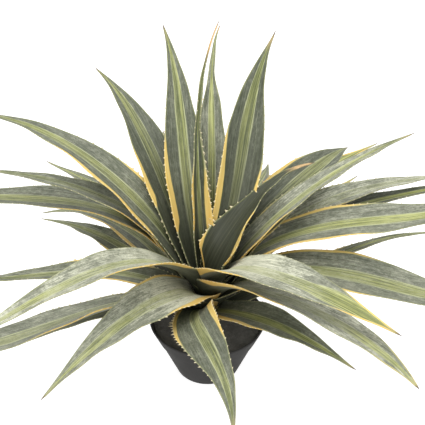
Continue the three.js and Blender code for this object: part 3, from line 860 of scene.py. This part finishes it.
LEAF = LeafLook().build()
for number, row in enumerate(LEAVES):
    leaf = Leaf(number, row)
    verts, faces, values = leaf_mesh(leaf)
    piece = mesh_object("agave_" + leaf.name, verts, faces, LEAF)
    s, u = values[:, ALONG], values[:, ACROSS]
    numbers = np.full(len(verts), number * NUMBER_STEP)
    half = leaf.half_width(s)
    edge = (1 - np.abs(u)) * half
    limit = margin_by_point(leaf.name, s, u, half)
    # the dark base, partly the leaf's own colour and partly painted shade
    dark, dark_to = DARK_BASE_AND_SHADE.get(leaf.name, USUAL_DARK_BASE_AND_SHADE)
    put_attribute(piece.data, "leaf_flat", np.stack([values[:, ACROSS_MM], values[:, ALONG_MM], numbers], 1))
    put_attribute(piece.data, "leaf_share", values[:, [ACROSS, ALONG, FACE]])
    put_attribute(piece.data, "leaf_traits", traits_by_point(leaf.name, s))
    put_attribute(piece.data, "leaf_rim", np.stack([edge, limit, values[:, TOOTH]], 1))
    put_attribute(piece.data, "leaf_dark_base_and_shade", dark * (1 - smooth(s, DARK_BASE_AND_SHADE_FROM, dark_to)))
    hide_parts(leaf.name)

# ---------------------------------------------------------------- pot, soil and stem
POT_SIDES = 128
POT_ROUNDING = 1.6  # its corners are rounded off over this much of each side
FOOT_BEVEL = 1.5
RIM_BEVEL = 0.8
RIM_INNER_BEVEL = 0.6
RIM_BAND = 2  # the rim stands upright over this height
COLLAR_FLARE = 0.8  # the collar stands this far out of the plain taper
COLLAR_SLOPE = 1.2  # height of its sloped lower edge
COLLAR_INSIDE = 1  # the step of the inside is this far below the outside's
SOIL_SIDES = 180
SOIL_ROWS = 26
SOIL_RISE = 1.5  # the soil rises by this much towards the stem
CRUMBS = [(3.0, 0.28, 1.1), (9.0, 0.75, 0.9)]  # layer of the noise, waves in a millimetre and height
CRUMB_SINK = 0.5
STEM_SIDES = 64
STEM_RINGS = 26
ROWS_A_RING = 4
SCAR_DEPTH = 0.15


def lathe(name, profile, sides, material):
    """A body of revolution from [radius, height] points; it starts and ends on the axis."""
    rows = []
    verts = []
    for radius, height in profile:
        if radius < 1e-6:
            rows.append([len(verts)])
            verts.append((0, 0, height))
            continue
        rows.append(list(range(len(verts), len(verts) + sides)))
        for k in range(sides):
            angle = 2 * math.pi * k / sides
            verts.append((radius * math.cos(angle), radius * math.sin(angle), height))
    faces = []
    for low, high in zip(rows, rows[1:]):
        for k in range(sides):
            j = (k + 1) % sides
            if len(low) == 1:
                faces.append([low[0], high[j], high[k]])
            elif len(high) == 1:
                faces.append([low[k], low[j], high[0]])
            else:
                faces.append([low[k], low[j], high[j], high[k]])
    return mesh_object(name, verts, faces, material)


def rounded(profile, radius, steps=4):
    """The profile with each inner corner replaced by a curve, which takes less than half of each side."""
    points = [np.array(p, float) for p in profile]
    found = [points[0]]
    for before, corner, after in zip(points, points[1:], points[2:]):
        one, two = before - corner, after - corner
        cut = min(radius, 0.45 * np.linalg.norm(one), 0.45 * np.linalg.norm(two))
        start = corner + one / np.linalg.norm(one) * cut
        end = corner + two / np.linalg.norm(two) * cut
        for k in range(steps + 1):
            t = k / steps
            found.append((1 - t) ** 2 * start + 2 * t * (1 - t) * corner + t * t * end)
    found.append(points[-1])
    return found


collar_foot = POT_HEIGHT - COLLAR_HEIGHT
collar_radius = FOOT_RADIUS + (RIM_RADIUS - FOOT_RADIUS) * collar_foot / POT_HEIGHT + COLLAR_FLARE
inside_wall = [
    [RIM_RADIUS - WALL, POT_HEIGHT - RIM_BEVEL],
    [collar_radius - WALL, collar_foot + COLLAR_SLOPE],
    [collar_radius - COLLAR_STEP - WALL, collar_foot - COLLAR_INSIDE],
    [FOOT_RADIUS - WALL, FLOOR],
]
pot_profile = [
    [0, 0],
    [FOOT_RADIUS - FOOT_BEVEL, 0],
    [FOOT_RADIUS, FOOT_BEVEL],
    [collar_radius - COLLAR_STEP, collar_foot],
    [collar_radius, collar_foot + COLLAR_SLOPE],
    [RIM_RADIUS, POT_HEIGHT - RIM_BAND],
    [RIM_RADIUS, POT_HEIGHT - RIM_BEVEL],
    [RIM_RADIUS - RIM_BEVEL, POT_HEIGHT],
    [RIM_RADIUS - WALL + RIM_INNER_BEVEL, POT_HEIGHT],
    *inside_wall,
    [0, FLOOR],
]
pot = lathe("agave_pot", rounded(pot_profile, POT_ROUNDING), POT_SIDES, pot_material())
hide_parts("pot")


def inside_radius(height):
    """Radius of the pot's inside at a height."""
    return float(along(sorted((z, radius) for radius, z in inside_wall), height))


hole = STEM_PROFILE[0][1] + GAP
soil_edge = inside_radius(SOIL_TOP) - 2 * GAP
soil_profile = [(0, FLOOR + GAP)]
for height in (FLOOR + GAP, collar_foot - COLLAR_INSIDE, collar_foot + COLLAR_SLOPE):
    soil_profile.append((inside_radius(height) - 2 * GAP, height))
for row in range(SOIL_ROWS + 1):
    share = row / SOIL_ROWS
    soil_profile.append((soil_edge + (hole - soil_edge) * share, SOIL_TOP + SOIL_RISE * share))
soil_profile += [(hole, STEM_FOOT - GAP), (0, STEM_FOOT - GAP)]
soil = lathe("agave_soil", soil_profile, SOIL_SIDES, soil_material())
for vertex in soil.data.vertices:  # crumbs lie on the upper face alone
    x, y, z = vertex.co / MM
    if z > SOIL_TOP - 0.01:
        crumbs = sum(noise.noise(Vector((x, y, layer)) * waves) * size for layer, waves, size in CRUMBS)
        vertex.co.z += (crumbs - CRUMB_SINK) * MM
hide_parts("soil")

# the stem is ringed with the scars of shed leaves
stem_profile = [(0, STEM_FOOT)]
stem_rows = STEM_RINGS * ROWS_A_RING
for row in range(stem_rows + 1):
    height = STEM_FOOT + (STEM_PROFILE[-1][0] - STEM_FOOT) * row / stem_rows
    scar = SCAR_DEPTH if row % ROWS_A_RING == ROWS_A_RING - 1 else 0
    stem_profile.append((float(along(STEM_PROFILE, height)) - scar, height))
stem_profile.append((0, STEM_PROFILE[-1][0]))
stem = lathe("agave_stem", stem_profile, STEM_SIDES, stem_material())
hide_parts("stem")

# ---------------------------------------------------------------- stage
FLOOR_REACH = 6  # metres
FLOOR_GREY = (0.6, 0.6, 0.6, 1)
FLOOR_GLOW = 0.75  # the floor is as white as the photo's background

floor_mesh = bpy.data.meshes.new("floor")
floor_corners = [(x * FLOOR_REACH, y * FLOOR_REACH, 0) for x, y in ((-1, -1), (1, -1), (1, 1), (-1, 1))]
floor_mesh.from_pydata(floor_corners, [], [(0, 1, 2, 3)])
floor = bpy.data.objects.new("floor", floor_mesh)
scene.collection.objects.link(floor)
stage_look = Nodes("floor_white")
stage_look.put(stage_look.shader.inputs["Base Color"], FLOOR_GREY)
stage_look.put(stage_look.shader.inputs["Roughness"], 0.9)
stage_look.put(stage_look.shader.inputs["Specular IOR Level"], 0.0)
stage_look.put(stage_look.shader.inputs["Emission Color"], (1, 1, 1, 1))
stage_look.put(stage_look.shader.inputs["Emission Strength"], FLOOR_GLOW)
floor_mesh.materials.append(stage_look.material)
floor.visible_diffuse = False
floor.visible_glossy = False

# ---------------------------------------------------------------- light
# The studio is bright all round, and a little dimmer from the height of the floor down.
SKY_LOW = (0.8, 0.8, 0.79, 1)
SKY_HIGH = (0.9, 0.9, 0.9, 1)
SKY_FULL_FROM = 0.35  # sine of the elevation from which the sky has its full light
SKY_TOP = 0.9
SKY_STRENGTH = 1.25

world = bpy.data.worlds.new("studio")
scene.world = world
world.use_nodes = True
sky = world.node_tree
height = sky.nodes.new("ShaderNodeSeparateXYZ")
sky.links.new(sky.nodes.new("ShaderNodeTexCoord").outputs["Generated"], height.inputs[0])
shades = sky.nodes.new("ShaderNodeValToRGB")
sky.links.new(height.outputs[2], shades.inputs[0])
shades.color_ramp.elements[0].position = 0.0
shades.color_ramp.elements[0].color = SKY_LOW
shades.color_ramp.elements[1].position = SKY_TOP
shades.color_ramp.elements[1].color = SKY_HIGH
shades.color_ramp.elements.new(SKY_FULL_FROM).color = SKY_HIGH
sky.links.new(shades.outputs[0], sky.nodes["Background"].inputs[0])
sky.nodes["Background"].inputs[1].default_value = SKY_STRENGTH


def area_light(name, place, target, size, power):
    """A round soft light, in metres and watts."""
    light = bpy.data.lights.new(name, "AREA")
    light.shape = "DISK"
    light.size = size
    light.energy = power
    lamp = bpy.data.objects.new(name, light)
    lamp.location = place
    lamp.rotation_euler = (Vector(target) - Vector(place)).to_track_quat("-Z", "Y").to_euler()
    scene.collection.objects.link(lamp)


LIT_POINT = (0, 0, 0.2)
area_light("key", place=(-0.25, -0.2, 2.4), target=LIT_POINT, size=1.6, power=28)
area_light("fill", place=(-0.6, -2.0, 0.9), target=LIT_POINT, size=1.2, power=12)

# ---------------------------------------------------------------- camera, as the photo was taken
DISTANCE = 1.7
ELEVATION = math.radians(36.5)
AIM = Vector((0.0065, 0, 0.2495))
SENSOR_WIDTH = 36  # millimetres, as is the lens
LENS = 117.9

camera_data = bpy.data.cameras.new("camera")
camera_data.sensor_width = SENSOR_WIDTH
camera_data.lens = LENS
camera = bpy.data.objects.new("camera", camera_data)
look = Vector((0, math.cos(ELEVATION), -math.sin(ELEVATION)))
camera.location = AIM - look * DISTANCE
camera.rotation_euler = look.to_track_quat("-Z", "Y").to_euler()
scene.collection.objects.link(camera)
scene.camera = camera

scene.view_settings.view_transform = "Standard"
scene.view_settings.look = "None"
